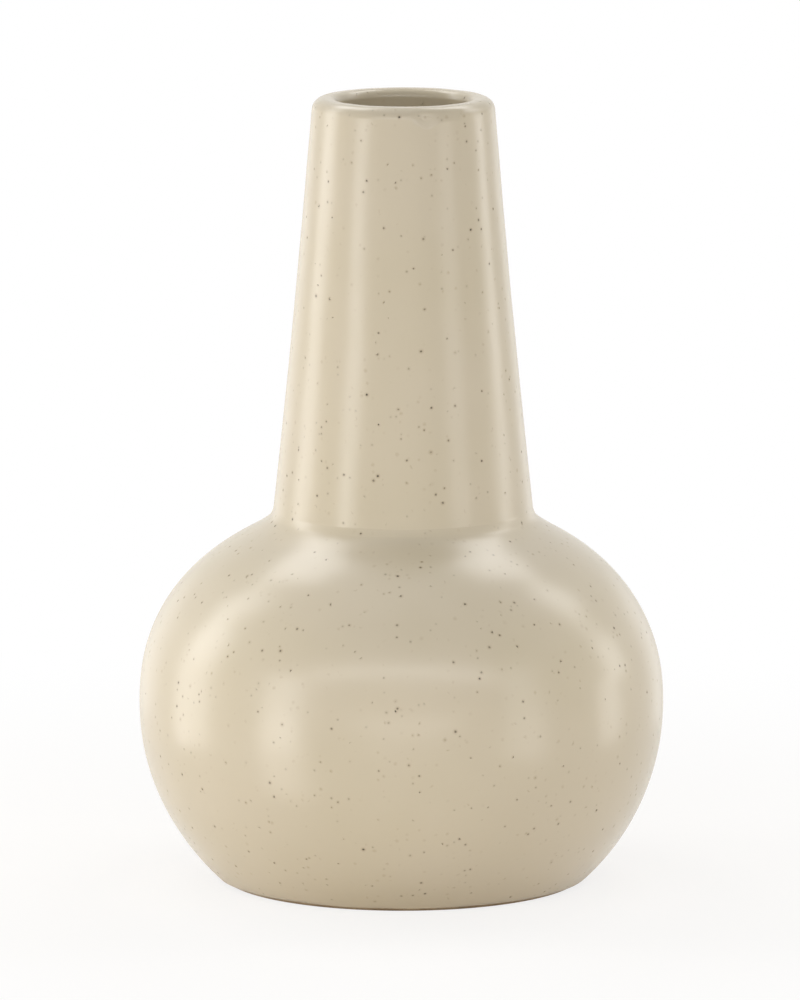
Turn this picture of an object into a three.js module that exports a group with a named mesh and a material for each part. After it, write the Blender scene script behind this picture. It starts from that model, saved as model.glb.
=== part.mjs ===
// Jug vase in speckled stoneware: a slender cone neck standing on a squashed-ball belly.
// Millimetres, +Z up. The origin is the centre of the foot, on the surface that the vase stands on.
//
// The vase is one hollow clay wall of even thickness, with a coat of glaze outside, a glaze
// liner inside, and glaze in the recess under the foot. One outline, the glazed outside, drives
// them all: every other face of the wall lies a fixed depth under it, measured square to it.

import * as THREE from 'three';

// Outline of the glazed outside
const BELLY_RADIUS = 60;
const BELLY_LEVEL = 40.4; // height of the widest girth
const FOOT_RADIUS = 41.6; // where the belly's lower curve would reach the table
const SHOULDER_RISE = 42.5; // from the widest girth up to the crease under the neck
const SHOULDER_FULLNESS = 2.31; // 2 is an ellipse, and more makes a squarer shoulder
const NECK_LENGTH = 97.1; // from the crease to the top of the lip
const NECK_FOOT_RADIUS = 30;
const NECK_TOP_RADIUS = 20.7;
const NECK_HOLLOW = 0.38; // how far the neck draws in from a straight cone, half way up
const CREASE_SOFTNESS = 5.7; // the curves ease into each other where their radii are this near

// Wall and coats
const CLAY_WALL = 4.9;
const CLAY_FLOOR = 4.8; // thickness of the floor over the recess
const GLAZE_COAT = 0.5;
const COAT_CLEARANCE = 0.02; // keeps the fused coats and the clay apart as solids

// Lip, mouth and floor
const LIP_OUTER_ROUND = 2.95;
const LIP_INNER_ROUND = 2;
const MOUTH_DIP = 9; // how far the outer glaze runs down inside the mouth
const FLOOR_CORNER = 9; // rounding between the inside wall and the floor

// Foot
const FOOT_EDGE = 1; // rounding of the foot ring's outer edge
const FOOT_RING_WIDTH = 4;
const RING_INNER_EDGE = 0.5; // rounding of the foot ring's inner edge
const RECESS_DEPTH = 2.2;
const RECESS_CORNER = 1.2;
const GLAZE_LINE = 0.9; // the outer glaze is wiped off below this height

// Fineness of the facets
const FACETS_AROUND = 40;
const CHORD_ERROR = 0.1;
const ROUNDING_STEPS = 4;
const EDGE_STEPS = 2;
const OUTLINE_SAMPLES = 3000;
const SLOPE_STEP = 0.001;
const HALVINGS = 50;

// Depths of the faces under the glazed outside
const HEIGHT = BELLY_LEVEL + SHOULDER_RISE + NECK_LENGTH;
const OUTER_COAT_BACK = GLAZE_COAT - COAT_CLEARANCE;
const CLAY_OUTSIDE = GLAZE_COAT;
const CLAY_INSIDE = CLAY_OUTSIDE + CLAY_WALL;
const LINER_BACK = CLAY_INSIDE + COAT_CLEARANCE;
const LINER_FACE = CLAY_INSIDE + GLAZE_COAT;
const FLOOR_TOP = RECESS_DEPTH + CLAY_FLOOR;

// A rounding takes no more than half of the wall that it turns over.
const lipOuterRound = Math.min(LIP_OUTER_ROUND, LINER_FACE / 2);
const lipInnerRound = Math.min(LIP_INNER_ROUND, LINER_FACE / 2);
const ringInnerEdge = Math.min(RING_INNER_EDGE, RECESS_DEPTH / 2);
const recessCorner = Math.min(RECESS_CORNER, RECESS_DEPTH - ringInnerEdge);

// Belly: an ellipse below the widest girth. Above it, a superellipse that would close over the
// axis, but is met by the neck at the crease.
const lowerRise = BELLY_LEVEL / Math.sqrt(1 - (FOOT_RADIUS / BELLY_RADIUS) ** 2);
const creaseShare = 1 - (NECK_FOOT_RADIUS / BELLY_RADIUS) ** 2;
const upperRise = SHOULDER_RISE / creaseShare ** (1 / SHOULDER_FULLNESS);

function bellyRadius(z) {
  const closed =
    z < BELLY_LEVEL
      ? ((BELLY_LEVEL - z) / lowerRise) ** 2
      : ((z - BELLY_LEVEL) / upperRise) ** SHOULDER_FULLNESS;
  return BELLY_RADIUS * Math.sqrt(Math.max(0, 1 - closed));
}

// Neck: a cone whose side draws in along a parabola.
function neckRadius(z) {
  const share = (z - BELLY_LEVEL - SHOULDER_RISE) / NECK_LENGTH;
  const cone = THREE.MathUtils.lerp(NECK_FOOT_RADIUS, NECK_TOP_RADIUS, share);
  return cone - 4 * NECK_HOLLOW * share * (1 - share);
}

// The whole outside: the larger of the two radii, with the crease between them eased.
function outsideRadius(z) {
  const belly = bellyRadius(z);
  if (z < BELLY_LEVEL) return belly;
  const neck = neckRadius(z);
  const easing = Math.max(0, CREASE_SOFTNESS - Math.abs(belly - neck));
  return Math.max(belly, neck) + easing ** 2 / (4 * CREASE_SOFTNESS);
}

// The direction in which the outside faces, as an angle up from level.
function facing(z) {
  const rise = outsideRadius(z - SLOPE_STEP) - outsideRadius(z + SLOPE_STEP);
  return Math.atan2(rise, 2 * SLOPE_STEP);
}

// The point that lies a depth under the outside, square to it, at an outline height z.
function under(z, depth) {
  const angle = facing(z);
  const radius = outsideRadius(z) - depth * Math.cos(angle);
  return new THREE.Vector2(radius, z - depth * Math.sin(angle));
}

// The outline height whose point at a depth lies at a level. It is no further than that depth
// from the level, and levels rise with outline heights, so halving the stretch finds it.
function outlineHeight(depth, level) {
  let low = level - depth;
  let high = level + depth;
  for (let i = 0; i < HALVINGS; i++) {
    const middle = (low + high) / 2;
    if (under(middle, depth).y < level) low = middle;
    else high = middle;
  }
  return (low + high) / 2;
}

// Outline heights for the facets between two ends. Each chord stands off its curve by the same
// small amount, so the points lie closer together where the outline turns faster.
function stations(from, to) {
  const heights = [from];
  const sums = [0];
  for (let i = 1; i <= OUTLINE_SAMPLES; i++) {
    const z = THREE.MathUtils.lerp(from, to, i / OUTLINE_SAMPLES);
    const run = under(z, 0).distanceTo(under(heights[i - 1], 0));
    const turn = Math.abs(facing(z) - facing(heights[i - 1]));
    heights.push(z);
    sums.push(sums[i - 1] + Math.sqrt(run * turn));
  }
  const total = sums[OUTLINE_SAMPLES];
  const count = Math.max(2, Math.ceil(total / Math.sqrt(8 * CHORD_ERROR)));
  const chosen = [from];
  for (let k = 1; k < count; k++) {
    chosen.push(heights[sums.findIndex((sum) => sum >= (total * k) / count)]);
  }
  return [...chosen, to];
}

function wallFace(heights, depth) {
  return heights.map((z) => under(z, depth));
}

function arc(centre, radius, from, to, steps = ROUNDING_STEPS) {
  const clockwise = to < from;
  const curve = new THREE.EllipseCurve(centre.x, centre.y, radius, radius, from, to, clockwise);
  return curve.getPoints(steps);
}

// Lip: a ball rolled along inside the wall, up to the top of the lip, finds the centre of each
// rounding. All the faces that turn over the lip share the two centres.
const lipStart = outlineHeight(lipOuterRound, HEIGHT - lipOuterRound);
const lipEnd = outlineHeight(LINER_FACE - lipInnerRound, HEIGHT - lipInnerRound);
const lipOuterCentre = under(lipStart, lipOuterRound);
const lipInnerCentre = under(lipEnd, LINER_FACE - lipInnerRound);

// The face that lies a depth under the glaze, from the outside over the top to the inside.
function lipFace(depth) {
  const top = Math.PI / 2;
  return [
    ...arc(lipOuterCentre, lipOuterRound - depth, facing(lipStart), top),
    ...arc(lipInnerCentre, lipInnerRound - depth, top, Math.PI + facing(lipEnd)),
  ];
}

// Floor: a ball rolled down the inside wall on to the floor finds the centre of the corner.
const cornerHeight = outlineHeight(CLAY_INSIDE + FLOOR_CORNER, FLOOR_TOP + FLOOR_CORNER);
const cornerCentre = under(cornerHeight, CLAY_INSIDE + FLOOR_CORNER);

// The face that lies a height over the clay floor, from the wall round the corner to the axis.
function floorFace(height) {
  return [
    ...arc(cornerCentre, FLOOR_CORNER - height, facing(cornerHeight), -Math.PI / 2),
    new THREE.Vector2(0, FLOOR_TOP + height),
  ];
}

// Foot: a ring round a shallow recess. Its outer edge is rounded into the belly.
const footHeight = outlineHeight(CLAY_OUTSIDE + FOOT_EDGE, FOOT_EDGE);
const footCentre = under(footHeight, CLAY_OUTSIDE + FOOT_EDGE);
const recessRadius = footCentre.x - FOOT_RING_WIDTH;
const ringCentre = new THREE.Vector2(recessRadius + ringInnerEdge, ringInnerEdge);
const recessCentre = new THREE.Vector2(recessRadius - recessCorner, RECESS_DEPTH - recessCorner);

// The face that lies a depth under the clay of the recess, from the axis into the corner.
function recessFace(depth) {
  return [
    new THREE.Vector2(0, RECESS_DEPTH - depth),
    ...arc(recessCentre, recessCorner - depth, Math.PI / 2, 0, EDGE_STEPS),
  ];
}

// Stretches of the wall that the pieces share. The outer glaze and the liner meet at the seam.
const seamHeight = outlineHeight(CLAY_INSIDE, HEIGHT - MOUTH_DIP);
const linerTop = outlineHeight(CLAY_INSIDE, HEIGHT - MOUTH_DIP - COAT_CLEARANCE);
const outside = stations(GLAZE_LINE, lipStart);
const mouth = stations(lipEnd, seamHeight);
const inside = stations(linerTop, cornerHeight);

// Stoneware body: recess, foot ring, outside, lip, inside and floor in one profile.
function stonewareBody() {
  return [
    ...recessFace(0),
    ...arc(ringCentre, ringInnerEdge, Math.PI, 1.5 * Math.PI, EDGE_STEPS),
    ...arc(footCentre, FOOT_EDGE, -Math.PI / 2, facing(footHeight), EDGE_STEPS),
    ...wallFace(outside, CLAY_OUTSIDE),
    ...lipFace(CLAY_OUTSIDE),
    ...wallFace(mouth, CLAY_INSIDE),
    ...wallFace(inside, CLAY_INSIDE),
    ...floorFace(0),
  ];
}

// Outer glaze: from the wiped line at the foot, over the lip and a little way into the mouth.
function outerGlaze() {
  const front = [...wallFace(outside, 0), ...lipFace(0), ...wallFace(mouth, LINER_FACE)];
  const back = [
    ...wallFace(outside, OUTER_COAT_BACK),
    ...lipFace(OUTER_COAT_BACK),
    ...wallFace(mouth, LINER_BACK),
  ];
  return [...front, ...back.reverse(), front[0]];
}

// Inner glaze: poured into the vase, it lines the wall below the seam and the floor.
function innerGlaze() {
  const front = [...wallFace(inside, LINER_FACE), ...floorFace(GLAZE_COAT)];
  const back = [...wallFace(inside, LINER_BACK), ...floorFace(COAT_CLEARANCE)];
  return [...back.reverse(), ...front];
}

// Foot glaze: in the recess, clear of the ring that the vase stands on.
function footGlaze() {
  return [...recessFace(GLAZE_COAT), ...recessFace(COAT_CLEARANCE).reverse()];
}

const vase = new THREE.Group();

// Turns a profile round the axis. Where two stretches share an end, one of the points is left out.
function turn(name, profile, color, roughness) {
  const points = profile.filter((point, i) => !i || !point.equals(profile[i - 1]));
  const geometry = new THREE.LatheGeometry(points, FACETS_AROUND).rotateX(Math.PI / 2);
  const material = new THREE.MeshStandardMaterial({ color, roughness, metalness: 0 });
  const mesh = new THREE.Mesh(geometry, material);
  mesh.name = name;
  vase.add(mesh);
}

const BARE_CLAY = 0xb8a184;
const BARE_ROUGHNESS = 0.85;
const GLAZE_BEIGE = 0xcdbfa2;
const GLAZE_ROUGHNESS = 0.3;

turn('stoneware_body', stonewareBody(), BARE_CLAY, BARE_ROUGHNESS);
turn('outer_glaze', outerGlaze(), GLAZE_BEIGE, GLAZE_ROUGHNESS);
turn('inner_glaze', innerGlaze(), GLAZE_BEIGE, GLAZE_ROUGHNESS);
turn('foot_glaze', footGlaze(), GLAZE_BEIGE, GLAZE_ROUGHNESS);

export default vase;
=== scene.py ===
# %% [markdown]
# A jug vase in speckled stoneware.
#
# The real vase is cast in a plaster mould. Liquid clay sets against the mould as a wall of even
# thickness, and the rest is poured out. The dry vase is dipped in a beige glaze, lined with the
# same glaze by pouring it in and out again, and wiped clean where it stands. So it is four
# layers: a clay body, a coat outside, a liner inside and a patch of glaze under the foot.
#
# The packed frame holds those four as plain facets. This script turns each of them again as a
# fine smooth surface in the same place, gives it the small unevenness of a fired pot, and
# finishes it with glaze or bare clay.

# %% Load the frame
import math

import bpy
import numpy as np
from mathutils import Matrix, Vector


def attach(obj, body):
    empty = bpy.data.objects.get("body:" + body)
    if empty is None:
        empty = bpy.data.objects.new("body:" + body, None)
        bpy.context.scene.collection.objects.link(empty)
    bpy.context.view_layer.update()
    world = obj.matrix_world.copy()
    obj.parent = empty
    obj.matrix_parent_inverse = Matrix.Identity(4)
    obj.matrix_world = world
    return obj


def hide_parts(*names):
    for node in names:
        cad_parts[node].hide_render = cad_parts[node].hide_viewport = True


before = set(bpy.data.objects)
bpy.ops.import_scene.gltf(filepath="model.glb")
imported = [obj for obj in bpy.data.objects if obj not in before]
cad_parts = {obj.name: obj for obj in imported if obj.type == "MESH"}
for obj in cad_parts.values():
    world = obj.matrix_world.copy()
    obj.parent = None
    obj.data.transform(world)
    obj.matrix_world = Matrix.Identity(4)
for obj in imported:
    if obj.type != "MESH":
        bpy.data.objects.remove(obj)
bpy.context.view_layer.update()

MM = 0.001

# %% [markdown]
# The camera stands far off with a long lens, a little above the mouth, so that the mouth shows
# as a thin ellipse. A nearer camera would open that ellipse and make the belly look larger.

# %% Camera
SENSOR_MM = 36.0
CAMERA_LENS_MM = 383.2
CAMERA_DISTANCE = 2396.7 * MM
CAMERA_HEIGHT = 486.6 * MM
CAMERA_SIDE = -0.3 * MM
AIM_HEIGHT = 87.33 * MM
NEAREST_SEEN = 50 * MM


def put_in_scene(name, data):
    """Makes an object of a camera, a mesh or a lamp, and links it to the scene."""
    thing = bpy.data.objects.new(name, data)
    bpy.context.scene.collection.objects.link(thing)
    return thing


camera_data = bpy.data.cameras.new("camera")
camera_data.sensor_width = SENSOR_MM
camera_data.lens = CAMERA_LENS_MM
camera_data.clip_start = NEAREST_SEEN
camera = put_in_scene("camera", camera_data)
camera.location = (CAMERA_SIDE, -CAMERA_DISTANCE, CAMERA_HEIGHT)
sight = Vector((CAMERA_SIDE, 0, AIM_HEIGHT)) - camera.location
camera.rotation_euler = sight.to_track_quat("-Z", "Y").to_euler()
bpy.context.scene.camera = camera
print("camera looks down by", round(math.degrees(math.asin(-sight.normalized().z)), 2), "degrees")

# %% [markdown]
# One outline shapes the whole vase. Below its widest girth the belly is an ellipse. Above it, a
# superellipse makes the shoulder a little squarer. The neck is a cone whose side draws in along
# a parabola. Where belly and neck meet, the larger radius counts, and the crease between them is
# eased. A spline through picked points could follow the same line, but a formula keeps every
# parallel face of the wall smooth. Its measures, and the camera's, come from a program's fit to
# the outline in a photograph of the vase, rounded.

# %% Outline of the glazed outside
BELLY_RADIUS = 60 * MM
BELLY_LEVEL = 40.4 * MM
FOOT_RADIUS = 41.6 * MM
SHOULDER_RISE = 42.5 * MM
SHOULDER_FULLNESS = 2.31
NECK_LENGTH = 97.1 * MM
NECK_FOOT_RADIUS = 30 * MM
NECK_TOP_RADIUS = 20.7 * MM
NECK_HOLLOW = 0.38 * MM
CREASE_SOFTNESS = 5.7 * MM
HEIGHT = BELLY_LEVEL + SHOULDER_RISE + NECK_LENGTH
SLOPE_STEP = 0.001 * MM

LOWER_RISE = BELLY_LEVEL / math.sqrt(1 - (FOOT_RADIUS / BELLY_RADIUS) ** 2)
CREASE_SHARE = 1 - (NECK_FOOT_RADIUS / BELLY_RADIUS) ** 2
UPPER_RISE = SHOULDER_RISE / CREASE_SHARE ** (1 / SHOULDER_FULLNESS)


def belly_radius(z):
    """Belly radius times the root of what is left of 1 after the height's power share."""
    below = ((BELLY_LEVEL - z) / LOWER_RISE) ** 2
    above = (np.maximum(z - BELLY_LEVEL, 0) / UPPER_RISE) ** SHOULDER_FULLNESS
    closed = np.where(z < BELLY_LEVEL, below, above)
    return BELLY_RADIUS * np.sqrt(np.maximum(0, 1 - closed))


def neck_radius(z):
    """A straight line between two radii, less a parabola that is deepest half way up."""
    share = (z - BELLY_LEVEL - SHOULDER_RISE) / NECK_LENGTH
    cone = NECK_FOOT_RADIUS + (NECK_TOP_RADIUS - NECK_FOOT_RADIUS) * share
    return cone - 4 * NECK_HOLLOW * share * (1 - share)


def eased_maximum(first, second, softness):
    """The larger of the two, plus a square bump where they differ by less than the softness."""
    easing = np.maximum(0, softness - np.abs(first - second))
    return np.maximum(first, second) + easing**2 / (4 * softness)


def outside_radius(z):
    """The belly below its widest girth, and above it the eased maximum of belly and neck."""
    belly = belly_radius(z)
    joined = eased_maximum(belly, neck_radius(z), CREASE_SOFTNESS)
    return np.where(z < BELLY_LEVEL, belly, joined)


def facing(z):
    """The angle above level at which the outside faces, from its slope at the height z."""
    rise = outside_radius(z - SLOPE_STEP) - outside_radius(z + SLOPE_STEP)
    return np.arctan2(rise, 2 * SLOPE_STEP)


def under(z, depth):
    """Radius and height of the points that lie a depth under the outside, square to it."""
    angle = facing(z)
    radius = outside_radius(z) - depth * np.cos(angle)
    return np.stack([radius, z - depth * np.sin(angle)], axis=-1)


print("outline:", round(2 * BELLY_RADIUS / MM), "mm wide,", round(HEIGHT / MM), "mm high")

# %% [markdown]
# The wall has parallel faces: glaze, clay, clay and glaze. Each is the outline moved inwards by a
# fixed depth, so the wall is as thick at the neck as at the belly.

# %% Depths of the layers
CLAY_WALL = 4.9 * MM
GLAZE_COAT = 0.5 * MM
COAT_CLEARANCE = 0.02 * MM

COAT_BACK = GLAZE_COAT - COAT_CLEARANCE
CLAY_INSIDE = GLAZE_COAT + CLAY_WALL
LINER_BACK = CLAY_INSIDE + COAT_CLEARANCE
LINER_FACE = CLAY_INSIDE + GLAZE_COAT
print("wall with its glaze on both sides:", round(LINER_FACE / MM, 2), "mm")

# %% [markdown]
# A profile is put together from stretches of such a face, arcs and level runs. The rows of a
# stretch lie at equal steps of its running length. Equal steps of height would be less work, but
# they leave wide gaps on the shoulder, where the face is nearly level.

# %% Lines that a profile is made of
FINE_SAMPLES = 4000
ROW_SPACING = 1.05 * MM
QUARTER_TURN = math.pi / 2


def stations(start, end, spacing):
    """Outline heights at equal steps of the running length between two heights."""
    fine = np.linspace(start, end, FINE_SAMPLES)
    steps = np.linalg.norm(np.diff(under(fine, 0), axis=0), axis=1)
    run = np.concatenate([[0], np.cumsum(steps)])
    count = math.ceil(run[-1] / spacing) + 1
    return np.interp(np.linspace(0, run[-1], count), run, fine)


def arc(centre, radius, start, end, rows):
    """Points of a circle about a centre, at equal angles from start to end."""
    angle = np.linspace(start, end, rows + 1)
    return centre + radius * np.stack([np.cos(angle), np.sin(angle)], axis=-1)


def level_run(from_radius, to_radius, level, spacing=2 * ROW_SPACING):
    """Points on a level line between two radii, without the first."""
    count = math.ceil(abs(to_radius - from_radius) / spacing) + 1
    radius = np.linspace(from_radius, to_radius, count)[1:]
    return np.stack([radius, np.full_like(radius, level)], axis=-1)


print("rows of points lie", round(ROW_SPACING / MM, 2), "mm apart")

# %% [markdown]
# The lip, the inside corner of the floor and the edge of the foot are roundings. Their centres
# are where a ball of that radius comes to rest when it is rolled along the wall, which is found
# here by halving a stretch of the outline.

# %% Places of the roundings
CLAY_FLOOR = 4.8 * MM
LIP_OUTER_ROUND = 2.95 * MM
LIP_INNER_ROUND = 2 * MM
MOUTH_DIP = 9 * MM
FLOOR_CORNER = 9 * MM
FOOT_EDGE = 1 * MM
FOOT_RING_WIDTH = 4 * MM
RING_INNER_EDGE = 0.5 * MM
RECESS_DEPTH = 2.2 * MM
RECESS_CORNER = 1.2 * MM
HALVINGS = 50

FLOOR_TOP = RECESS_DEPTH + CLAY_FLOOR
SEAM_LEVEL = HEIGHT - MOUTH_DIP


def outline_height(depth, level):
    """The outline height whose point at a depth lies at a level, found by halving."""
    low, high = level - depth, level + depth
    for _ in range(HALVINGS):
        middle = (low + high) / 2
        if under(middle, depth)[1] < level:
            low = middle
        else:
            high = middle
    return (low + high) / 2


LIP_START = outline_height(LIP_OUTER_ROUND, HEIGHT - LIP_OUTER_ROUND)
LIP_END = outline_height(LINER_FACE - LIP_INNER_ROUND, HEIGHT - LIP_INNER_ROUND)
LIP_OUTER_CENTRE = under(LIP_START, LIP_OUTER_ROUND)
LIP_INNER_CENTRE = under(LIP_END, LINER_FACE - LIP_INNER_ROUND)
CORNER_HEIGHT = outline_height(CLAY_INSIDE + FLOOR_CORNER, FLOOR_TOP + FLOOR_CORNER)
CORNER_CENTRE = under(CORNER_HEIGHT, CLAY_INSIDE + FLOOR_CORNER)
FOOT_HEIGHT = outline_height(GLAZE_COAT + FOOT_EDGE, FOOT_EDGE)
FOOT_CENTRE = under(FOOT_HEIGHT, GLAZE_COAT + FOOT_EDGE)
RECESS_RADIUS = FOOT_CENTRE[0] - FOOT_RING_WIDTH
RING_CENTRE = np.array([RECESS_RADIUS + RING_INNER_EDGE, RING_INNER_EDGE])
RECESS_CENTRE = np.array([RECESS_RADIUS - RECESS_CORNER, RECESS_DEPTH - RECESS_CORNER])
SEAM_HEIGHT = outline_height(CLAY_INSIDE, SEAM_LEVEL)

print("lip roundings end at heights", round(LIP_START / MM, 2), round(LIP_END / MM, 2), "mm")
print("foot ring from radius", round(RECESS_RADIUS / MM, 2), "to", round(FOOT_CENTRE[0] / MM, 2))

# %% [markdown]
# The lip, the floor and the recess are needed in several layers. So each is a function of how far
# the layer lies from the face that the roundings were found for.

# %% Lip, floor and recess
ARC_ROWS = 14
EDGE_ROWS = 6


def lip_face(depth, rows=ARC_ROWS):
    """The face a depth under the glaze, from the outside over the lip to the inside."""
    outer = arc(LIP_OUTER_CENTRE, LIP_OUTER_ROUND - depth, facing(LIP_START), QUARTER_TURN, rows)
    turned = math.pi + facing(LIP_END)
    inner = arc(LIP_INNER_CENTRE, LIP_INNER_ROUND - depth, QUARTER_TURN, turned, rows)
    return np.concatenate([outer, inner])


def floor_face(height, rows=ARC_ROWS):
    """The face a height over the clay floor, from the wall round its corner to the axis."""
    start = facing(CORNER_HEIGHT)
    corner = arc(CORNER_CENTRE, FLOOR_CORNER - height, start, -QUARTER_TURN, rows)
    return np.concatenate([corner, level_run(corner[-1, 0], 0, FLOOR_TOP + height)])


def recess_face(depth):
    """The face a depth under the clay of the recess, from the axis out into its corner."""
    edge = arc(RECESS_CENTRE, RECESS_CORNER - depth, QUARTER_TURN, 0, EDGE_ROWS)
    flat = level_run(edge[0, 0], 0, RECESS_DEPTH - depth)[::-1]
    return np.concatenate([flat, edge])


print("rows over the lip:", len(lip_face(0)), "and round a small edge:", EDGE_ROWS)

# %% [markdown]
# A fired pot is never quite true. Clay leaves the mould soft, so its neck settles a fraction of
# a millimetre to one side and the round goes slightly oval. These are real shape, not colour,
# because they bend the long highlights.

# %% Leaning and oval
NECK_SIDESTEP = 0.45 * MM
NECK_SIDESTEP_LEVELS = (62 * MM, 88 * MM)
FOOT_SIDESTEP = 0.3 * MM
FOOT_SIDESTEP_LEVELS = (2 * MM, 30 * MM)
OVAL = 0.12 * MM


def smooth_step(value, start, end):
    """0 before start, 1 after end, and three squares less two cubes of the share between."""
    share = np.clip((value - start) / (end - start), 0, 1)
    return share * share * (3 - 2 * share)


def sidestep(z):
    """How far the axis lies to the right at each height: most at the neck, less at the foot,
    and not at all where the belly is widest."""
    neck = NECK_SIDESTEP * smooth_step(z, *NECK_SIDESTEP_LEVELS)
    foot = FOOT_SIDESTEP * (1 - smooth_step(z, *FOOT_SIDESTEP_LEVELS))
    return neck + foot


def out_of_round(angle):
    """The change of the radius: none at the sides and twice the oval less front and back. It
    is 1 less a cosine of twice the angle, times the oval."""
    return -OVAL * (1 - np.cos(2 * angle))


print("the neck stands", round(sidestep(HEIGHT) / MM, 2), "mm to the right")

# %% [markdown]
# The glaze melts and lies in faint waves. Each wave is a cosine of the angle and the height
# together, and their sum is kept at or under the frame's outline. A noise texture could lift the
# surface too, but a cosine with a whole number of waves meets itself after one turn.

# %% Waves in the glaze
WAVE_COUNT = 26
WAVE_HEIGHT = 0.011 * MM
LOWEST_WAVE_SHARE = 0.4
WAVE_LENGTHS = (16 * MM, 90 * MM)
MOST_WAVES_AROUND = 13
WAVE_SEED = 11
WAVE_SAMPLES = 700


def draw_waves():
    """Random waves: how many go round, how fast they climb, their height and their start."""
    draw = np.random.default_rng(WAVE_SEED)
    around = draw.integers(0, MOST_WAVES_AROUND + 1, WAVE_COUNT)
    length = np.exp(draw.uniform(*np.log(WAVE_LENGTHS), WAVE_COUNT))
    climb = 2 * math.pi / length * draw.choice([-1, 1], WAVE_COUNT)
    height = WAVE_HEIGHT * draw.uniform(LOWEST_WAVE_SHARE, 1, WAVE_COUNT)
    height = height * np.sqrt(length / WAVE_LENGTHS[1])
    return around, climb, height, draw.uniform(0, 2 * math.pi, WAVE_COUNT)


WAVES = draw_waves()


def wave_sum(z, angle):
    """The sum of the waves, each a cosine of the angle and the height together."""
    total = np.zeros(np.broadcast_shapes(z.shape, angle.shape))
    for around, climb, height, start in zip(*WAVES):
        total = total + height * np.cos(around * angle + climb * z + start)
    return total


ALL_LEVELS = np.linspace(0, HEIGHT, WAVE_SAMPLES)[:, None]
ALL_ANGLES = np.linspace(0, 2 * math.pi, WAVE_SAMPLES)
HIGHEST_WAVE = wave_sum(ALL_LEVELS, ALL_ANGLES).max()


def glaze_waves(z, angle):
    """The waves, moved inwards so that the highest of them just reaches the outline."""
    return wave_sum(z, angle) - HIGHEST_WAVE


print("waves:", WAVE_COUNT, "and the highest stands out", round(HIGHEST_WAVE / MM, 3), "mm")

# %% [markdown]
# Melted glaze also runs. On one stretch below the lip it has crept down, and left an edge that
# sags once. The face lies a little further in above that edge, up to the crest of the lip.

# %% Crept edge below the lip
CREEP_SLOPE = 0.22
CREEP_LEVEL = 176.8 * MM
CREEP_EASE = 0.25 * MM
CREEP_SAG = 1.6 * MM
CREEP_SAG_ANGLE = math.radians(-75)
CREEP_SAG_SPREAD = math.radians(6)
CREEP_MIDDLE = math.radians(-67)
CREEP_HALF_SPAN = math.radians(20)
CREEP_FADE = math.radians(7)
CREEP_FADE_LEVELS = (177.4 * MM, 179.9 * MM)


def turn_between(angle, other):
    """How far the angle is turned from the other one, within half a turn either way."""
    return np.angle(np.exp(1j * (angle - other)))


def glaze_creep(z, angle):
    """On one stretch of the lip the face draws in above a level that sags once: by the eased
    height over that level, times the slope. It fades at the stretch's ends and at the crest."""
    sag = np.exp(-((turn_between(angle, CREEP_SAG_ANGLE) / CREEP_SAG_SPREAD) ** 2))
    over = eased_maximum(z - CREEP_LEVEL + CREEP_SAG * sag, 0, CREEP_EASE)
    along = np.abs(turn_between(angle, CREEP_MIDDLE))
    share = 1 - smooth_step(along, CREEP_HALF_SPAN - CREEP_FADE, CREEP_HALF_SPAN)
    return -CREEP_SLOPE * share * over * (1 - smooth_step(z, *CREEP_FADE_LEVELS))


print("the crept edge sags to", round((CREEP_LEVEL - CREEP_SAG) / MM, 1), "mm above the table")

# %% [markdown]
# A pot is turned or cast round one axis, so each layer is a profile carried round that axis. The
# grid has one row for each point of the profile and one column for each angle. Blender's Spin
# could carry it round as well, but here every point also moves by the unevenness of its place.

# %% Profiles carried round the axis
COLUMNS = 240
ANGLES = np.arange(COLUMNS) * 2 * math.pi / COLUMNS


def profile_normals(profile, closed):
    """Unit normals in the profile's plane: the direction of travel turned to the right."""
    if closed:
        along = np.roll(profile, -1, axis=0) - np.roll(profile, 1, axis=0)
    else:
        along = np.gradient(profile, axis=0)
    normal = np.stack([along[:, 1], -along[:, 0]], axis=-1)
    return normal / np.linalg.norm(normal, axis=1, keepdims=True)


def carried_round(profile, relief, closed):
    """Points on rows of the profile and columns of the angle, moved by the relief along the
    profile's normal, by the oval along the radius, and sideways by the step of the axis."""
    normal = profile_normals(profile, closed)
    radius = profile[:, :1] * (1 + out_of_round(ANGLES) / BELLY_RADIUS) + normal[:, :1] * relief
    z = np.broadcast_to(profile[:, 1:] + normal[:, 1:] * relief, radius.shape)
    x = radius * np.cos(ANGLES) + sidestep(z)
    return np.stack([x, radius * np.sin(ANGLES), z], axis=-1)


print("columns round each piece:", COLUMNS)

# %% [markdown]
# The points are joined by four-sided faces. The coat's profile closes on itself, so its surface
# is a ring. The other profiles start and end on the axis, where the row of points is one point,
# so no hole or doubled point is left at the poles.

# %% Faces of a closed surface
def ring_faces(first, second):
    """Four-sided faces between two rows of point numbers, all the way round."""
    return np.stack([first, np.roll(first, -1), np.roll(second, -1), second], axis=-1)


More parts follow.
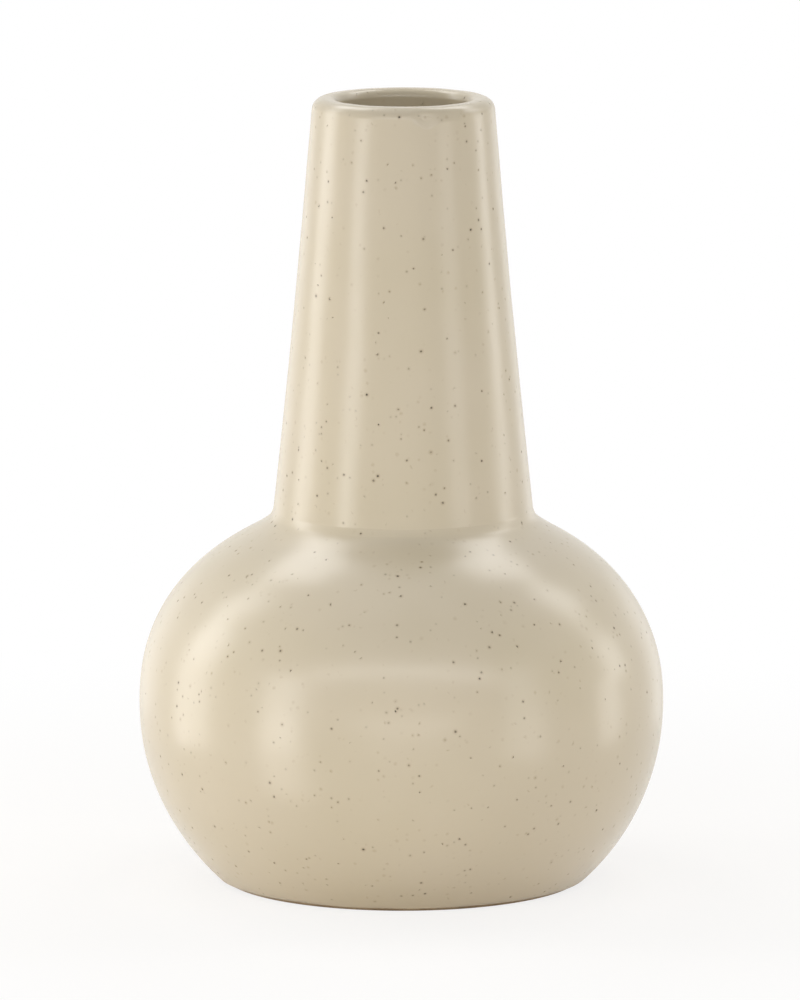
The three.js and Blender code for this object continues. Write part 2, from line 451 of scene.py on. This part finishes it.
def closed_surface(points, closed):
    """Vertices and faces of the grid: wrapped both ways, or ended in a fan at each pole."""
    rows = len(points)
    numbers = np.arange(rows * COLUMNS).reshape(rows, COLUMNS)
    if closed:
        faces = [ring_faces(numbers[i], numbers[(i + 1) % rows]) for i in range(rows)]
        return points.reshape(-1, 3), np.concatenate(faces).tolist()
    inner = points[1:-1].reshape(-1, 3)
    poles = points[[0, -1]].mean(axis=1)
    numbers = np.arange(len(inner)).reshape(-1, COLUMNS)
    faces = [ring_faces(numbers[i], numbers[i + 1]) for i in range(len(numbers) - 1)]
    low, high = len(inner), len(inner) + 1
    start, end = numbers[0], numbers[-1]
    fans = [np.stack([np.full(COLUMNS, low), np.roll(start, -1), start], axis=-1)]
    fans.append(np.stack([np.full(COLUMNS, high), end, np.roll(end, -1)], axis=-1))
    faces = np.concatenate(faces).tolist() + np.concatenate(fans).tolist()
    return np.concatenate([inner, poles]), faces


print("faces between two rows:", len(ring_faces(np.arange(COLUMNS), np.arange(COLUMNS))))

# %% [markdown]
# A surface becomes a mesh object. It rides on the frame's one body, stands in for the plain
# facets of its node, and gets the finish it is given. The volume shows whether the faces point
# the right way: it is above 0 when all of them point outwards.

# %% Pieces in place of the frame's nodes
SHARP_FROM = math.radians(50)


def volume(vertices, faces):
    """A sixth of the sum of the triple products of the corners of each face's triangles."""
    total = 0.0
    for corners in (4, 3):
        some = np.array([f for f in faces if len(f) == corners], dtype=int).reshape(-1, corners)
        a = vertices[some[:, 0]]
        for k in range(1, corners - 1):
            b, c = vertices[some[:, k]], vertices[some[:, k + 1]]
            total += np.einsum("ij,ij->", a, np.cross(b, c)) / 6
    return total


def make_piece(name, profile, relief, closed, node, material):
    """Puts a turned surface into a mesh object that stands for one node of the frame."""
    vertices, faces = closed_surface(carried_round(profile, relief, closed), closed)
    mesh = bpy.data.meshes.new(name)
    mesh.from_pydata(vertices.tolist(), [], faces)
    mesh.polygons.foreach_set("use_smooth", np.ones(len(faces), bool))
    mesh.set_sharp_from_angle(angle=SHARP_FROM)
    mesh.materials.append(material)
    mesh.update()
    piece = put_in_scene(name, mesh)
    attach(piece, "root")
    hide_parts(node)
    size = round(volume(vertices, faces) / MM**3 / 1000, 1)
    triangles = sum(len(f) - 2 for f in faces)
    print(name, "has", triangles, "triangles and holds", size, "cubic centimetres")
    return piece


print("edges stay sharp from", round(math.degrees(SHARP_FROM)), "degrees")

# %% [markdown]
# Blender's materials are nodes joined by wires, which are hard to read as code. Here a wire is a
# small class, and arithmetic on wires adds the Math nodes. So 1 - mask or a * b + c can be
# written as they are meant. Every other node is made by one method, which sets the node up
# before it joins the inputs.

# %% Wires that can be added and multiplied
MIX_FACTOR, MIX_FIRST, MIX_SECOND, MIX_RESULT = 0, 6, 7, 2


class Wire:
    """An output socket of a node. Sums and products of wires and numbers are new wires."""

    def __init__(self, tree, socket=None):
        self.tree = tree
        self.socket = socket

    def node(self, kind, inputs=(), output=0, **settings):
        """Adds a node: its settings first, then its inputs, which are values or wires."""
        node = self.tree.nodes.new(kind)
        for name, value in settings.items():
            setattr(node, name, value)
        for key, value in dict(inputs).items():
            if isinstance(value, Wire):
                self.tree.links.new(value.socket, node.inputs[key])
            else:
                node.inputs[key].default_value = value
        return Wire(self.tree, node.outputs[output] if node.outputs else None)

    def beside(self, output):
        """Another output of the same node."""
        return Wire(self.tree, self.socket.node.outputs[output])

    def maths(self, operation, first, second):
        """A Math node on two numbers or wires."""
        return self.node("ShaderNodeMath", {0: first, 1: second}, operation=operation)

    def __add__(self, other):
        return self.maths("ADD", self, other)

    __radd__ = __add__

    def __mul__(self, other):
        return self.maths("MULTIPLY", self, other)

    __rmul__ = __mul__

    def __sub__(self, other):
        return self.maths("SUBTRACT", self, other)

    def __rsub__(self, other):
        return self.maths("SUBTRACT", other, self)

    def __truediv__(self, other):
        return self.maths("DIVIDE", self, other)

    def __lt__(self, other):
        return self.maths("LESS_THAN", self, other)

    def __pow__(self, other):
        return self.maths("POWER", self, other)

    def vector(self, operation, *inputs):
        """Vector maths: the inputs are vectors or wires, in the node's order."""
        return self.node("ShaderNodeVectorMath", dict(enumerate(inputs)), operation=operation)

    def scaled(self, factor):
        """A vector or colour times a number or wire."""
        return self.node(
            "ShaderNodeVectorMath", {0: self, "Scale": factor}, operation="SCALE"
        )

    def stretched(self, low, high, to_low=0.0, to_high=1.0):
        """Carries the stretch from low to high over to another one, eased at both ends."""
        ends = {"From Min": low, "From Max": high, "To Min": to_low, "To Max": to_high}
        return self.node(
            "ShaderNodeMapRange", {"Value": self, **ends}, interpolation_type="SMOOTHSTEP"
        )

    def mixed(self, first, second):
        """A colour that goes from first to second as this wire goes from 0 to 1."""
        inputs = {MIX_FACTOR: self, MIX_FIRST: first, MIX_SECOND: second}
        return self.node("ShaderNodeMix", inputs, MIX_RESULT, data_type="RGBA")


print("a wire can do:", [name for name in vars(Wire) if not name.startswith("_")])

# %% [markdown]
# Every finish here starts alike: an empty material, and places on the piece in millimetres. The
# places are Object coordinates, which stay with the piece. Generated ones would be squeezed into
# the piece's box, so the specks would change size from piece to piece.

# %% Helpers for the finishes
NOISE_MIDDLE = (0.3, 0.7)


def linear(red, green, blue):
    """Linear light for a colour given as 0 to 255, by the sRGB curve."""
    shares = [c / 255 for c in (red, green, blue)]
    curve = [s / 12.92 if s <= 0.04045 else ((s + 0.055) / 1.055) ** 2.4 for s in shares]
    return (*curve, 1.0)


def new_material(name):
    """An empty material, its Principled shader, and a wire to start from."""
    material = bpy.data.materials.new(name)
    material.use_nodes = True
    shader = material.node_tree.nodes["Principled BSDF"]
    return material, shader, Wire(material.node_tree)


def connect(shader, **wires):
    """Joins wires to the shader's sockets, whose names have spaces for the underscores."""
    for name, wire in wires.items():
        wire.tree.links.new(wire.socket, shader.inputs[name.replace("_", " ")])


def millimetres(start):
    """Places on the object, in millimetres, so that every pattern has a real size."""
    return start.node("ShaderNodeTexCoord", output="Object").scaled(1 / MM)


def noise(place, size, detail=2.0):
    """Soft blotches about a size across, from 0 to 1 and mostly near the middle."""
    inputs = {"Vector": place, "Scale": 1 / size, "Detail": detail}
    return place.node("ShaderNodeTexNoise", inputs, noise_dimensions="3D")


def bumped(height):
    """The normal of a skin that has this height, in metres."""
    return height.node("ShaderNodeBump", {"Height": height, "Distance": 1.0})


print("colours are written as 0 to 255, such as white", linear(255, 255, 255)[:3])

# %% [markdown]
# The specks are iron in the clay. It melts in the kiln and bleeds up through the glaze as
# brown dots a few tenths of a millimetre across. A few are sharp and dark, most are veiled by
# glaze. Scattered points in space make them: the surface cuts a little ball round each point, so
# dots come out in every size up to the ball's. Three lots that are drawn for each point say
# whether it is a speck at all, how large it is and how dark. Soft noise makes them gather. A flat
# picture of dots would need a map of the surface, and would be pinched at the foot and the lip.

# %% Iron specks
SPECK_WOBBLE = 0.09
SPECK_WOBBLE_SIZE = 0.4
GATHERING_SIZE = 3.4
GATHERING_NOISE = (0.38, 0.66)
GATHERING_FACTORS = (0.2, 2.1)
SMALLEST = 0.75
SIZE_POWER = 1.5
FAINTEST = 0.2
SOFT_EDGE = (0.2, 1.1)
HALO_EDGE = (0.8, 2.2)


def specks(place, spacing, share, radius, veiling, drift):
    """How dark the specks are, from 0 to 1, and how brown the glaze is close round them.
    Points lie a spacing apart, a share of them are specks, and the largest has the radius,
    all in millimetres. More veiling leaves fewer dark ones. Drift moves the pattern."""
    moved = place.vector("ADD", place, (drift, drift, drift))
    wobble = moved.node(
        "ShaderNodeTexNoise",
        {"Vector": moved, "Scale": 1 / SPECK_WOBBLE_SIZE, "Detail": 0.0},
        output="Color",
    )
    bent = moved.vector("MULTIPLY_ADD", wobble, (2 * SPECK_WOBBLE,) * 3, moved)
    cells = {"Vector": bent, "Scale": 1 / spacing}
    near = moved.node("ShaderNodeTexVoronoi", cells, "Distance")
    chance = near.node("ShaderNodeSeparateColor", {"Color": near.beside("Color")}, "Red")
    size = (chance.beside("Green") ** SIZE_POWER * (1 - SMALLEST) + SMALLEST) * radius
    veil = chance.beside("Blue") ** veiling * (1 - FAINTEST) + FAINTEST
    gathering = noise(moved, GATHERING_SIZE).stretched(*GATHERING_NOISE, *GATHERING_FACTORS)
    chosen = (chance < gathering * share) * veil
    reach = near * spacing / size
    dot = reach.stretched(*SOFT_EDGE, 1.0, 0.0)
    return chosen * dot, chosen * reach.stretched(*HALO_EDGE, 1.0, 0.0)


print("a speck is bent out of round by up to", SPECK_WOBBLE, "mm")

# %% [markdown]
# The glaze is a satin one: it is glass, but fine crystals in its skin spread the highlights. So
# the shader is a plain dielectric over the glaze's own colour, with a middling roughness. The
# colour drifts a little over the pot, the skin has an orange peel too low to see except in the
# highlights, and the darker a speck is, the deeper is the tiny pit that it sits in.

# %% Speckled glaze
GLAZE_THIN = linear(204, 192, 167)
GLAZE_THICK = linear(207, 195, 172)
SPECK_BROWN = linear(44, 34, 23)
SPECK_HALO = linear(160, 134, 96)
HALO_STRENGTH = 0.3
CLOUD_SIZE = 34.0
GLAZE_ROUGHNESS = 0.255
GLAZE_ROUGHNESS_DRIFT = 0.012
SHEEN_PATCH_SIZE = 9.0
GLAZE_IOR = 1.5
PEEL_SIZE = 3.4
PEEL_HEIGHT = 0.004 * MM
RIPPLE_SIZE = 0.9
RIPPLE_HEIGHT = 0.0006 * MM
PIT_DEPTH = 0.006 * MM


def speckled_glaze():
    """Beige that drifts from thin to thick, halos over it, specks over those, and its skin."""
    material, shader, start = new_material("speckled_glaze")
    place = millimetres(start)
    cloud = noise(place, CLOUD_SIZE).stretched(*NOISE_MIDDLE)
    tone = cloud.mixed(GLAZE_THIN, GLAZE_THICK)
    fine, fine_halo = specks(place, spacing=1.3, share=0.11, radius=0.37, veiling=1.7, drift=0.0)
    bold, bold_halo = specks(place, spacing=2.6, share=0.21, radius=0.41, veiling=0.7, drift=40.0)
    dark = fine.maths("MAXIMUM", fine, bold)
    halo = fine_halo.maths("MAXIMUM", fine_halo, bold_halo) * HALO_STRENGTH
    colour = dark.mixed(halo.mixed(tone, SPECK_HALO), SPECK_BROWN)
    sheen = noise(place, SHEEN_PATCH_SIZE).stretched(
        *NOISE_MIDDLE, -GLAZE_ROUGHNESS_DRIFT, GLAZE_ROUGHNESS_DRIFT
    )
    roughness = sheen + GLAZE_ROUGHNESS
    ripple = noise(place, RIPPLE_SIZE, detail=1.0) * RIPPLE_HEIGHT
    peel = noise(place, PEEL_SIZE, detail=1.0) * PEEL_HEIGHT + ripple
    skin = bumped(peel - dark * PIT_DEPTH)
    shader.inputs["IOR"].default_value = GLAZE_IOR
    connect(shader, Base_Color=colour, Roughness=roughness, Normal=skin)
    print("glaze has", len(material.node_tree.nodes), "nodes")
    return material


GLAZE = speckled_glaze()

# %% [markdown]
# Only the foot ring shows bare clay, because glaze there would stick to the kiln shelf. Fired
# stoneware is matt and close grained, like very fine sandpaper, with the same iron as dark grit.

# %% Bare clay
CLAY_PALE = linear(190, 168, 138)
CLAY_DARK = linear(168, 145, 116)
GRIT_BROWN = linear(84, 62, 44)
CLAY_BLOTCH_SIZE = 7.0
CLAY_ROUGHNESS = 0.86
CLAY_ROUGHNESS_DRIFT = 0.04
GRAIN_SIZE = 0.45
GRAIN_NOISE = (0.25, 0.75)
GRAIN_SHADES = (0.93, 1.05)
GRAIN_HEIGHT = 0.03 * MM
GRIT_HEIGHT = 0.009 * MM


def bare_clay():
    """Blotchy buff clay with grit over it, shaded by its grain."""
    material, shader, start = new_material("bare_clay")
    place = millimetres(start)
    blotch = noise(place, CLAY_BLOTCH_SIZE, detail=4.0).stretched(*NOISE_MIDDLE)
    tone = blotch.mixed(CLAY_PALE, CLAY_DARK)
    grain = noise(place, GRAIN_SIZE, detail=3.0)
    grit, _ = specks(place, spacing=0.9, share=0.3, radius=0.24, veiling=1.7, drift=90.0)
    shade = grain.stretched(*GRAIN_NOISE, *GRAIN_SHADES)
    toned = grit.mixed(tone, GRIT_BROWN).scaled(shade)
    skin = bumped(grain * GRAIN_HEIGHT + grit * GRIT_HEIGHT)
    drift = grain.stretched(*NOISE_MIDDLE, -CLAY_ROUGHNESS_DRIFT, CLAY_ROUGHNESS_DRIFT)
    roughness = drift + CLAY_ROUGHNESS
    connect(shader, Base_Color=toned, Roughness=roughness, Normal=skin)
    print("clay has", len(material.node_tree.nodes), "nodes")
    return material


CLAY = bare_clay()

# %% [markdown]
# The clay body is the pot before glazing: recess, foot ring, outside, lip, inside and floor in
# one profile. Almost all of it is covered by glaze, but it is kept whole, because it is what
# holds the coats and what shows on the ring.

# %% Clay body
CLAY_SPACING = 2.1 * MM
GLAZE_LINE = 0.9 * MM
RING_ROWS = 4


def clay_profile():
    """From the axis under the foot, round the outside and the lip, to the floor's middle."""
    outside = stations(GLAZE_LINE, LIP_START, CLAY_SPACING)
    inside = stations(LIP_END, CORNER_HEIGHT, CLAY_SPACING)
    ring_inner = arc(RING_CENTRE, RING_INNER_EDGE, math.pi, 3 * QUARTER_TURN, EDGE_ROWS)
    ring_flat = level_run(ring_inner[-1, 0], FOOT_CENTRE[0], 0, FOOT_RING_WIDTH / RING_ROWS)[:-1]
    foot_edge = arc(FOOT_CENTRE, FOOT_EDGE, -QUARTER_TURN, facing(FOOT_HEIGHT), EDGE_ROWS)
    return np.concatenate([
        recess_face(0), ring_inner, ring_flat, foot_edge, under(outside, GLAZE_COAT),
        lip_face(GLAZE_COAT), under(inside, CLAY_INSIDE)[1:], floor_face(0)[1:],
    ])


profile = clay_profile()
even = np.zeros((len(profile), 1))
make_piece("clay_body", profile, even, False, "stoneware_body", CLAY)

# %% [markdown]
# The outer coat starts at the wiped line just above the table, where surface tension pulls the
# melted glaze into a rounded bead. It covers the outside, turns over the lip and ends inside
# the mouth over the top of the liner. Its back lies on the clay. Only its face has the waves and
# the creep, so its thickness varies as a real coat's does. A second finish on the clay would be
# less work, but it has no thickness, and so no bead.

# %% Outer glaze coat
BACK_SPACING = 4.2 * MM
MOUTH_BACK_STEP = 3
BEAD_ROWS = 7
LINE_WANDER = 0.1 * MM
LINE_WAVES = ((5, 0.6, 2.0), (13, 0.4, 0.0))
CREEP_ROWS_FROM = 174.8 * MM
CREEP_SPACING = 0.14 * MM
LIP_ROWS = 24


def bead(height):
    """Half a circle that joins the coat's back to its face at the wiped line."""
    back, face = under(height, COAT_BACK), under(height, 0)
    middle, radius = (back + face) / 2, np.linalg.norm(face - back) / 2
    across = math.atan2(*(face - back)[::-1])
    return arc(middle, radius, across - math.pi, across, BEAD_ROWS)[1:-1]


def line_wander(angle):
    """How far the wiped line reaches down, where a hand turned the pot: cosines, each given by
    its number round, its share and its start."""
    waves = [share * np.cos(number * angle + start) for number, share, start in LINE_WAVES]
    return LINE_WANDER * sum(waves)


def outer_coat():
    """The profile of the coat, and for each of its points the shares that it takes of the
    face's relief and of the wiped line's."""
    below = stations(GLAZE_LINE, CREEP_ROWS_FROM, ROW_SPACING)
    crept = stations(CREEP_ROWS_FROM, LIP_START, CREEP_SPACING)
    outside = np.concatenate([below, crept[1:]])
    outside_back = stations(GLAZE_LINE, LIP_START, BACK_SPACING)
    mouth = stations(LIP_END, SEAM_HEIGHT, ROW_SPACING)[1:]
    face = np.concatenate([
        bead(GLAZE_LINE), under(outside, 0), lip_face(0, LIP_ROWS)[1:], under(mouth, LINER_FACE),
    ])
    back = np.concatenate([
        under(outside_back, COAT_BACK), lip_face(COAT_BACK, EDGE_ROWS)[1:],
        under(mouth[::MOUTH_BACK_STEP], LINER_BACK),
    ])
    profile = np.concatenate([face, back[::-1]])
    along_bead = np.linspace(0, 1, BEAD_ROWS + 1)[1:-1]
    on_face = np.concatenate([np.ones(len(face)), np.zeros(len(back))])
    on_face[: len(along_bead)] = along_bead
    on_line = np.zeros(len(profile))
    on_line[: len(along_bead)] = np.sin(math.pi * along_bead)
    return profile, on_face[:, None], on_line[:, None]


profile, on_face, on_line = outer_coat()
levels = profile[:, 1:]
relief = on_face * (glaze_waves(levels, ANGLES) + glaze_creep(levels, ANGLES))
relief = relief + on_line * line_wander(ANGLES)
make_piece("outer_glaze_coat", profile, relief, True, "outer_glaze", GLAZE)

# %% [markdown]
# The liner was poured in, swilled round and poured out. It covers the wall below the coat's end
# and the whole floor, where what could not run out lies in a shallow pool. It waves more than
# the outside does, because nobody could wipe or dip it evenly.

# %% Inner glaze liner
LINER_WAVE_FACTOR = 1.8
EVEN_BELOW_SEAM = 12 * MM
POOL_DEPTH = 0.3 * MM
POOL_LEVEL = FLOOR_TOP + GLAZE_COAT + POOL_DEPTH
POOL_EDGE = 1.2 * MM


def liner():
    """From the floor's back up the wall's back, over the top, and down the face again."""
    inside = stations(SEAM_HEIGHT, CORNER_HEIGHT, 2 * ROW_SPACING)
    inside_back = stations(SEAM_HEIGHT, CORNER_HEIGHT, BACK_SPACING)
    face = np.concatenate([under(inside, LINER_FACE), floor_face(GLAZE_COAT)[1:]])
    face[:, 1] = eased_maximum(face[:, 1], POOL_LEVEL, POOL_EDGE)
    back = np.concatenate([
        under(inside_back, LINER_BACK), floor_face(COAT_CLEARANCE, EDGE_ROWS)[1:],
    ])
    profile = np.concatenate([back[::-1], face])
    on_face = np.concatenate([np.zeros(len(back)), np.ones(len(face))])
    return profile, on_face[:, None]


profile, on_face = liner()
levels = profile[:, 1:]
growing = smooth_step(SEAM_LEVEL - levels, 0, EVEN_BELOW_SEAM)
factor = 1 + (LINER_WAVE_FACTOR - 1) * growing
relief = on_face * factor * glaze_waves(levels, ANGLES)
make_piece("inner_glaze_liner", profile, relief, False, "inner_glaze", GLAZE)

# %% [markdown]
# Under the foot a patch of glaze fills the recess and stops short of the ring. It lies level, so
# the waves of its face run along the radius, where those of the other coats run along the height.

# %% Foot glaze
profile = np.concatenate([recess_face(GLAZE_COAT), recess_face(COAT_CLEARANCE)[::-1]])
on_face = np.where(np.arange(len(profile)) < len(profile) / 2, 1, 0)[:, None]
relief = on_face * glaze_waves(profile[:, :1], ANGLES)
make_piece("foot_glaze_patch", profile, relief, False, "foot_glaze", GLAZE)

# %% [markdown]
# The vase stands on a pale floor in front of nothing but white. Light Path tells the floor what
# kind of ray asks. The eye is shown a floor that glows white, with enough of the real light mixed
# in to keep the vase's shadow. A ray mirrored by the glaze goes on through the floor, to the white
# and to the lamps that reach lower than the table. Only under and close to the foot it meets the
# shaded surface, which is what darkens the underside of a pot on a table. Light that bounces
# without being mirrored meets a plain pale surface. A floor that shone for every ray would be
# simpler, but it would light the vase from below.

# %% Floor
FLOOR_HALF_SIDE = 6000 * MM
FLOOR_PALE = (0.96, 0.91, 0.84, 1.0)
WHITE = (1.0, 1.0, 1.0, 1.0)
SHADOW_REACH = (60 * MM, 300 * MM)
STAND_REACH = (30 * MM, 58 * MM)
GLOW_SEEN = 0.8


def light_path(start, name):
    """1 for rays of the named kind, and 0 for the rest."""
    return start.node("ShaderNodeLightPath", output=f"Is {name} Ray")


def mirrored(start):
    """1 for mirror and glass rays, and 0 for the rest."""
    glossy = light_path(start, "Glossy")
    return glossy.maths("MAXIMUM", glossy, light_path(start, "Transmission"))


def floor_material():
    """White to the eye, clear to mirrored rays away from the foot, and pale to the rest."""
    material = bpy.data.materials.new("pale_floor")
    material.use_nodes = True
    material.node_tree.nodes.clear()
    start = Wire(material.node_tree)
    pale = start.node("ShaderNodeBsdfDiffuse", {"Color": FLOOR_PALE})
    glow = start.node("ShaderNodeEmission", {"Color": WHITE, "Strength": 1.0})
    clear = start.node("ShaderNodeBsdfTransparent")
    place = start.node("ShaderNodeTexCoord", output="Object")
    away = start.node("ShaderNodeVectorMath", {0: place}, "Value", operation="LENGTH")
    glow_share = away.stretched(*SHADOW_REACH, GLOW_SEEN, 1.0) * light_path(start, "Camera")
    clear_share = away.stretched(*STAND_REACH) * mirrored(start)
    seen = start.node("ShaderNodeMixShader", {0: glow_share, 1: pale, 2: glow})
    result = start.node("ShaderNodeMixShader", {0: clear_share, 1: seen, 2: clear})
    start.node("ShaderNodeOutputMaterial", {"Surface": result})
    return material


def make_floor():
    """A large square at the level of the foot."""
    side = FLOOR_HALF_SIDE
    corners = [(-side, -side, 0), (side, -side, 0), (side, side, 0), (-side, side, 0)]
    mesh = bpy.data.meshes.new("floor")
    mesh.from_pydata(corners, [], [(0, 1, 2, 3)])
    mesh.materials.append(floor_material())
    floor = put_in_scene("floor", mesh)


make_floor()
print("the floor is", round(2 * FLOOR_HALF_SIDE), "m wide")

# %% [markdown]
# The surroundings are as white as paper to the eye and in what the glaze mirrors. As a light they
# are dim, because a room that shines from all sides alike would leave the vase without shades.
# The lamps do the lighting.

# %% White surroundings
AMBIENT_STRENGTH = 0.17


def make_world():
    """A white world, at full strength for the eye and for mirrored rays."""
    world = bpy.data.worlds.new("white_surroundings")
    bpy.context.scene.world = world
    world.use_nodes = True
    tree = world.node_tree
    tree.nodes.clear()
    start = Wire(tree)
    seen = mirrored(start) + light_path(start, "Camera")
    strength = seen * (1 - AMBIENT_STRENGTH) + AMBIENT_STRENGTH
    background = start.node("ShaderNodeBackground", {"Color": WHITE, "Strength": strength})
    start.node("ShaderNodeOutputWorld", {"Surface": background})


make_world()
print("the surroundings light the vase at", AMBIENT_STRENGTH, "of white")

# %% [markdown]
# The lamps are soft boxes, as round a small product table. Two tall strips left and right, a
# little behind the vase, draw the bright lines near its edges. Two more stand nearer the camera,
# where the glaze mirrors less of them, and a wide band above joins them: together they are the
# arch that the belly mirrors. A strip is in parts, one over the other, because its brightness
# changes on the way up and it is not quite upright. Four boxes hang above and behind, for the
# shoulder. Two dim sheets behind light the outline, and two more, overhead and in front, lift the
# shadows together with a low band. Each lamp is given by the direction in which it is seen from
# the middle of the vase, its distance, its size, and its brightness as a multiple of white. A
# picture of a studio all round could do the same, but lamps can be moved one at a time. Most of
# these numbers began as a program's fits to a photograph of the vase, first of the light all
# round it and then of renders lit by one lamp each. They were rounded, and then changed
# until each bright line lay about where it should.

# %% Lamps
LAMP_AIM = Vector((0, 0, HEIGHT / 2))
LAMPS = {
    # name: degrees round and up, distance, width and height in metres, brightness
    "left_strip_upper": (-101.0, 3.0, 0.430, 0.165, 0.075, 2.9),
    "left_strip_lower": (-99.0, -11.4, 0.430, 0.175, 0.140, 3.05),
    "left_strip_top": (-101.0, 17.9, 0.430, 0.150, 0.150, 4.3),
    "right_strip_upper": (105.5, 7.2, 0.410, 0.105, 0.123, 3.1),
    "right_strip_lower": (97.0, -10.0, 0.410, 0.100, 0.140, 2.8),
    "right_strip_top": (104.0, 23.1, 0.410, 0.080, 0.100, 1.8),
    "left_front_upper": (-50.0, 7.4, 0.430, 0.125, 0.140, 4.0),
    "left_front_lower": (-50.5, -10.7, 0.430, 0.125, 0.130, 3.0),
    "left_low_front": (-48.5, -22.6, 0.270, 0.080, 0.150, 2.2),
    "right_front_upper": (50.5, 9.0, 0.307, 0.095, 0.110, 1.7),
    "right_front_lower": (50.5, -13.5, 0.307, 0.095, 0.118, 2.1),
    "front_band": (0.0, 27.5, 0.575, 0.900, 0.075, 4.1),
    "left_high_box": (-110.0, 37.5, 0.580, 0.158, 0.197, 3.7),
    "right_high_box": (112.5, 39.5, 0.594, 0.158, 0.200, 3.5),
    "left_back_box": (-140.0, 56.0, 0.605, 0.265, 0.230, 4.3),
    "right_back_box": (142.0, 57.0, 0.615, 0.265, 0.222, 4.3),
    "left_backdrop": (-144.0, -1.2, 0.900, 0.400, 0.390, 0.46),
    "right_backdrop": (147.0, -2.0, 0.900, 0.300, 0.400, 0.50),
    "overhead": (0.0, 88.0, 0.900, 0.600, 0.600, 0.38),
    "front_fill": (0.0, 30.0, 1.100, 0.900, 0.900, 0.20),
    "front_low_band": (0.0, -4.8, 0.600, 0.500, 0.070, 2.2),
}


def direction(round_degrees, up_degrees):
    """The unit vector at an angle round from the camera's side, to the right, and up."""
    turn, rise = math.radians(round_degrees), math.radians(up_degrees)
    level = math.cos(rise)
    return Vector((math.sin(turn) * level, -math.cos(turn) * level, math.sin(rise)))


def add_lamp(name, turn, rise, distance, width, height, brightness):
    """An area lamp that faces the vase. Its power is pi times its area and brightness."""
    lamp = bpy.data.lights.new(name, "AREA")
    lamp.shape = "RECTANGLE"
    lamp.size, lamp.size_y = width, height
    lamp.energy = math.pi * width * height * brightness
    holder = put_in_scene(name, lamp)
    holder.location = LAMP_AIM + distance * direction(turn, rise)
    holder.rotation_euler = direction(turn, rise).to_track_quat("Z", "Y").to_euler()
    holder.visible_camera = False


for lamp_name, values in LAMPS.items():
    add_lamp(lamp_name, *values)
print("lamps:", len(LAMPS))

# %% [markdown]
# The picture is shown by the plain Standard transform, so colours come out as they are written.

# %% View
bpy.context.scene.view_settings.view_transform = "Standard"
